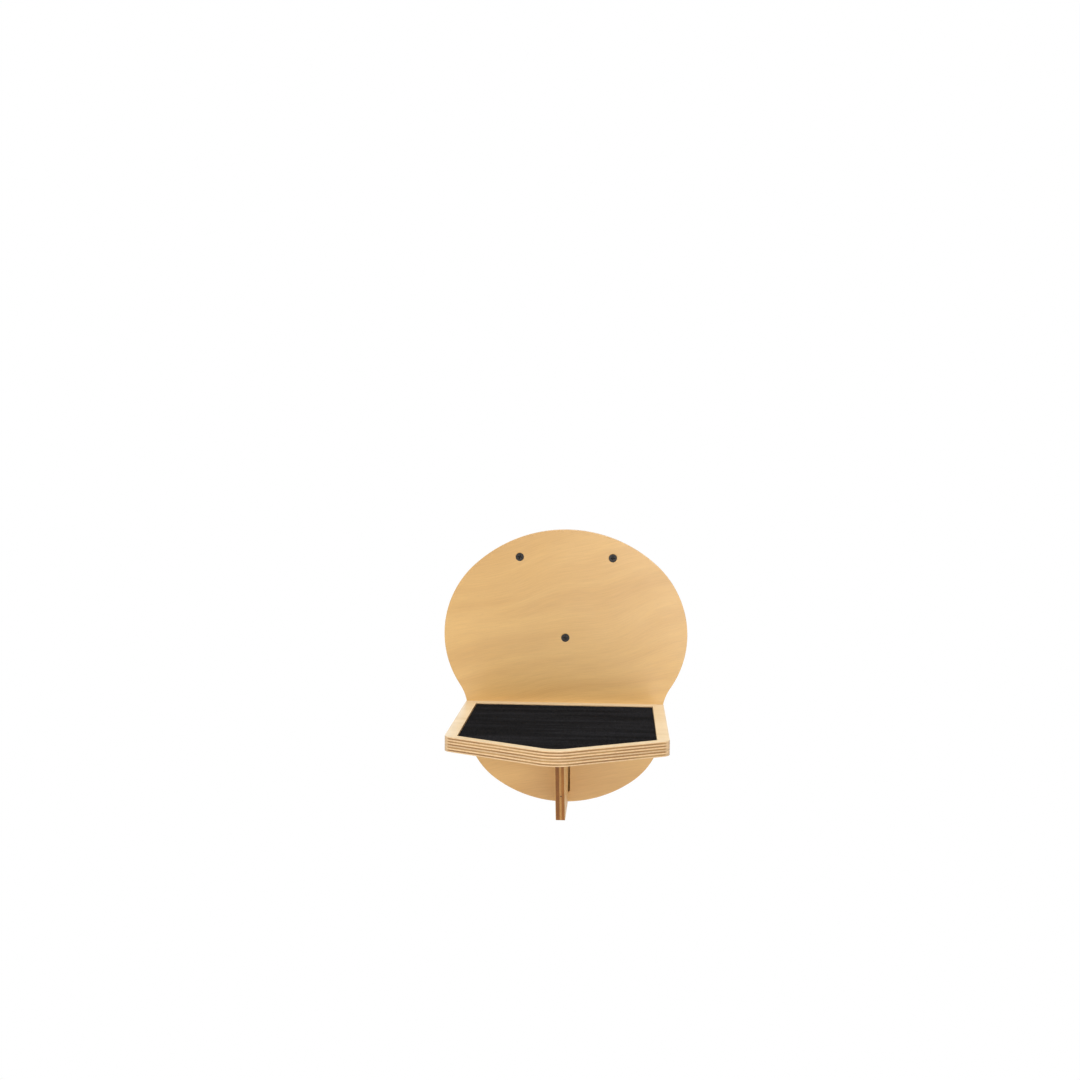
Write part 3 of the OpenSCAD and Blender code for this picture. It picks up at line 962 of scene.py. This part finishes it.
@dataclass
class WallScrews:
    """The black countersunk screws that hold the plate to the wall."""

    mount: str = "wall_screws"
    head: float = 9.3 * MM
    chamfer: float = 0.15 * MM
    rim: float = 0.35 * MM
    shank: float = 4.4 * MM
    thread: float = 0.35 * MM
    pitch: float = 1.9 * MM
    flank: float = 0.3  # of a thread, as a share of the pitch
    sunk: float = 0.25 * MM
    tail: float = 0.4 * MM
    recess_length: float = 7.2 * MM
    recess_width: float = 1.7 * MM
    recess_depth: float = 2.2 * MM
    sides: int = 48
    finish: MetalFinish = MetalFinish("black_phosphate", plating=(0.022, 0.020, 0.019),
                                      worn=(0.09, 0.075, 0.06), wear=0.5, shine=0.38, metallic=0.6)

    def build(self, wear_group: WearGroup) -> None:
        """Builds the screws in the holes of the mount.

        Args:
            wear_group: The shader group that scuffs their finish.
        """
        dims = next(m for m in frame["record"]["mounts"] if m["name"] == self.mount)["dims"]
        front = -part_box("wall_plate")[0].y
        blank = stand(self._blank_mesh(front))
        screws = grown(blank, ScrewRingTree().graph.tree, {
            "Count": dims["count"], "Circle": dims["pcd_mm"] * MM,
            "Recess Length": self.recess_length, "Recess Width": self.recess_width,
            "Recess Depth": self.recess_depth, "Face": front - self.sunk,
            "Finish": self.finish.material(wear_group)}, "wall_screws")
        bpy.data.objects.remove(blank)
        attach(screws, ROOT)
        log.info("wall screws: %d, head %.1f mm", dims["count"], self.head / MM)

    def _blank_mesh(self, front: float) -> Mesh:
        """Turns one screw without its recess, along Z, its head at the top.

        Args:
            front: How far the plate's face stands from the wall.

        Returns:
            The mesh.
        """
        top, radius, core = front - self.sunk, self.head / 2, self.shank / 2 - self.thread
        profile = [(0.0, top), (radius - self.chamfer, top), (radius, top - self.chamfer),
                   (radius, top - self.rim), (core, top - self.rim - (radius - core))]
        height = profile[-1][1] - self.pitch
        while height - self.pitch > self.tail:
            profile += [(core, height), (self.shank / 2, height - self.flank * self.pitch),
                        (core, height - 2 * self.flank * self.pitch)]
            height -= self.pitch
        profile += [(core, self.tail), (0.0, self.tail)]
        build = bmesh.new()
        points = [build.verts.new((r, 0.0, z)) for r, z in profile]
        edges = [build.edges.new(pair) for pair in zip(points, points[1:])]
        bmesh.ops.spin(build, geom=[*points, *edges], cent=(0.0, 0.0, 0.0), axis=(0.0, 0.0, 1.0),
                       angle=math.tau, steps=self.sides, use_merge=True)
        bmesh.ops.remove_doubles(build, verts=build.verts, dist=0.001 * MM)
        bmesh.ops.recalc_face_normals(build, faces=build.faces)
        return settled(build, "screw_blank")


@dataclass(frozen=True)
class Fixings:
    """The finishes of the fixings and the tape, which are the frame's own nodes."""

    zinc: MetalFinish = MetalFinish("zinc_plating", plating=(0.62, 0.62, 0.60),
                                    worn=(0.46, 0.45, 0.42), wear=0.6, shine=0.26)
    beech: Colour = (0.62, 0.42, 0.26)
    beech_fleck: Colour = (0.40, 0.23, 0.12)
    fleck: Stretch = (1500.0, 260.0, 1500.0)
    fleck_shows: Ramp = (0.6, 0.7)
    fibre: Stretch = (2600.0, 60.0, 2600.0)
    fibre_roughness: Ramp = (0.3, 0.7, 0.6, 0.75)
    tape: Colour = (0.78, 0.76, 0.68)
    tape_glue: Colour = (0.66, 0.62, 0.50)
    patch: Stretch = (90.0, 90.0, 90.0)
    patch_shows: Ramp = (0.35, 0.65)
    patch_roughness: Ramp = (0.3, 0.7, 0.4, 0.6)
    gauze: float = 700.0

    def dress(self, wear_group: WearGroup) -> None:
        """Gives the nodes their finishes.

        Args:
            wear_group: The shader group that scuffs the screws.
        """
        zinc = self.zinc.material(wear_group)
        for node, material in (("shelf_screws", zinc), ("fin_screws", zinc),
                               ("shelf_dowels", self._beech()), ("mat_tape_strips", self._tape())):
            give_finish(frame["nodes"][node], material)
        log.info("fixings: zinc screws, beech dowels and tape")

    def _beech(self) -> Material:
        """Makes bare beech, its flecks along the dowels.

        Returns:
            The material.
        """
        material, graph, shader = new_material("bare_beech")
        place = graph.place()
        fleck = graph.step(graph.noise(place, self.fleck), *self.fleck_shows)
        fibre = graph.noise(place, self.fibre)
        graph.feed(shader, {
            "Base Color": graph.mix(fleck, rgba(self.beech), rgba(self.beech_fleck)),
            "Roughness": graph.step(fibre, *self.fibre_roughness),
            "Normal": graph.bump(fibre, strength=0.4, distance=0.05 * MM)})
        return material

    def _tape(self) -> Material:
        """Makes the tape's gauze and glue.

        Returns:
            The material.
        """
        material, graph, shader = new_material("carpet_tape")
        place = graph.place()
        gauze = graph.out("ShaderNodeTexVoronoi", {"Vector": place, "Scale": self.gauze},
                          distance="CHEBYCHEV")
        patch = graph.noise(place, self.patch, detail=3.0)
        graph.feed(shader, {
            "Base Color": graph.mix(graph.step(patch, *self.patch_shows), rgba(self.tape),
                                    rgba(self.tape_glue)),
            "Roughness": graph.step(patch, *self.patch_roughness),
            "Normal": graph.bump(gauze, strength=0.4, distance=0.1 * MM)})
        return material


@dataclass(frozen=True)
class Camera:
    """The camera, at the photograph's viewing angle."""

    place: Place = (0.05725, -1.56883, 0.1425)
    yaw: float = math.radians(3.19)
    pitch: float = math.radians(-3.42)
    roll: float = math.radians(0.60)
    lens: float = 46.667
    sensor: float = 36.0

    def set_up(self) -> None:
        """Adds the camera and makes it the scene's own."""
        data = bpy.data.cameras.new("camera")
        data.lens = self.lens
        data.sensor_width = self.sensor
        place = Matrix.Translation(self.place)
        for angle, axis in ((self.yaw, "Z"), (math.pi / 2 + self.pitch, "X"), (self.roll, "Z")):
            place = place @ Matrix.Rotation(angle, 4, axis)
        bpy.context.scene.camera = stand(data, place)


@dataclass(frozen=True)
class Lamp:
    """One soft square lamp."""

    name: str
    place: Place
    size: float
    power: float

    def set_up(self, target: Vector) -> None:
        """Adds the lamp.

        Args:
            target: What it points at.
        """
        data = bpy.data.lights.new(self.name, "AREA")
        data.size = self.size
        data.energy = self.power
        turn = (target - Vector(self.place)).to_track_quat("-Z", "Y").to_matrix().to_4x4()
        stand(data, Matrix.Translation(self.place) @ turn)


@dataclass
class Studio:
    """The white room round the object: its floor, its lamps and its background."""

    floor_drop: float = 0.5
    floor_size: float = 40.0
    near: float = 0.15
    far: float = 0.5
    floor_colour: Colour = (0.86, 0.86, 0.86)
    ambient: float = 0.48
    lamps: tuple[Lamp, ...] = (
        Lamp("front_softbox", (0.8, -2.4, 0.3), size=1.5, power=28.5),
        Lamp("left_softbox", (-1.7, -1.6, 0.3), size=1.4, power=15.5),
        Lamp("top_softbox", (0.0, -0.3, 1.9), size=1.5, power=28.0),
    )

    def set_up(self) -> None:
        """Builds the floor, the lamps and the world."""
        low, high = cad_box
        middle = (low + high) / 2
        for lamp in self.lamps:
            lamp.set_up(middle)
        self._world()
        self._floor(middle, low.z - self.floor_drop)
        bpy.context.scene.view_settings.view_transform = "Standard"

    def _unlit(self, graph: Graph) -> Socket:
        """Tells the rays that see the plain white background from those of the light itself.

        Args:
            graph: The graph of the world or of the floor's material.

        Returns:
            1 for a ray that sees the background, and otherwise 0.
        """
        rays = graph.add("ShaderNodeLightPath").outputs
        seen = graph.math("MAXIMUM", rays["Is Camera Ray"], rays["Is Glossy Ray"])
        return graph.math("MAXIMUM", seen, rays["Is Transmission Ray"])

    def _world(self) -> None:
        """Makes the background white and the light from all round soft."""
        world = bpy.data.worlds.new("studio")
        world.use_nodes = True
        world.node_tree.nodes.clear()
        graph = Graph(world.node_tree)
        strength = graph.step(self._unlit(graph), 0.0, 1.0, self.ambient, 1.0)
        graph.add("ShaderNodeOutputWorld", {"Surface": graph.out("ShaderNodeBackground", {
            "Color": rgba(WHITE), "Strength": strength})})
        bpy.context.scene.world = world

    def _floor(self, middle: Vector, height: float) -> None:
        """Lays a pale floor that fades into the background.

        Args:
            middle: The point that the floor's middle lies under.
            height: How high the floor lies, in metres.
        """
        half = self.floor_size / 2
        corners = [(-half, -half), (half, -half), (half, half), (-half, half)]
        mesh = bpy.data.meshes.new("floor")
        mesh.from_pydata([(middle.x + x, middle.y + y, height) for x, y in corners], [],
                         [(0, 1, 2, 3)])
        floor = stand(mesh)
        material = bpy.data.materials.new("floor")
        material.use_nodes = True
        material.node_tree.nodes.clear()
        graph = Graph(material.node_tree)
        reach = graph.distance(graph.place(), (middle.x, middle.y, height))
        fade = graph.math("MULTIPLY", graph.step(reach, self.near, self.far), self._unlit(graph))
        matt = graph.out("ShaderNodeBsdfDiffuse", {"Color": rgba(self.floor_colour)})
        white = graph.out("ShaderNodeEmission", {"Color": rgba(WHITE), "Strength": 1.0})
        both = graph.out("ShaderNodeMixShader", {0: fade, 1: matt, 2: white})
        graph.add("ShaderNodeOutputMaterial", {"Surface": both})
        give_finish(floor, material)


BOARDS = (
    PlywoodBoard("wall_plate", Axis.X, Axis.Z, Axis.Y, even_plies(9), ease=0.8 * MM,
                 grain_turn=math.radians(-12), low_face_tint=(0.95, 0.93, 0.8)),
    PlywoodBoard("shelf_board", Axis.X, Axis.Y, Axis.Z, even_plies(11), ease=1.5 * MM,
                 # The shelf's much paler top tint is painted glare: the cream of a glancing
                 # reflection and of the top lamp.
                 low_face_tint=(1.06, 1.14, 1.25), high_face_tone_and_painted_glare=(1.2, 1.66, 3.15),
                 edge_tint=(0.88, 0.885, 0.93), end_tint=(0.99, 0.93, 0.66)),
    PlywoodBoard("support_fin", Axis.Z, Axis.Y, Axis.X, (0.07, 0.36, 0.24, 0.25, 0.08),
                 ease=0.5 * MM, low_face_tint=(1.16, 1.2, 1.28),
                 high_face_tone_and_painted_glare=(1.16, 1.2, 1.28), edge_tint=(0.52, 0.375, 0.18),
                 end_tint=(1.27, 1.1, 0.58), gloss=0.15, knot=(0.001, -0.112, -0.2153)),
)


def main() -> None:
    """Builds every piece, dresses the frame's nodes and reports them."""
    logging.basicConfig(level=logging.INFO, format="%(message)s")
    Camera().set_up()
    Studio().set_up()
    plywood = PlywoodGroup(BirchTints())
    for board in BOARDS:
        board.dress(plywood)
    Carpet().build()
    wear_group = WearGroup()
    WallScrews().build(wear_group)
    Fixings().dress(wear_group)


if __name__ == "__main__":
    main()
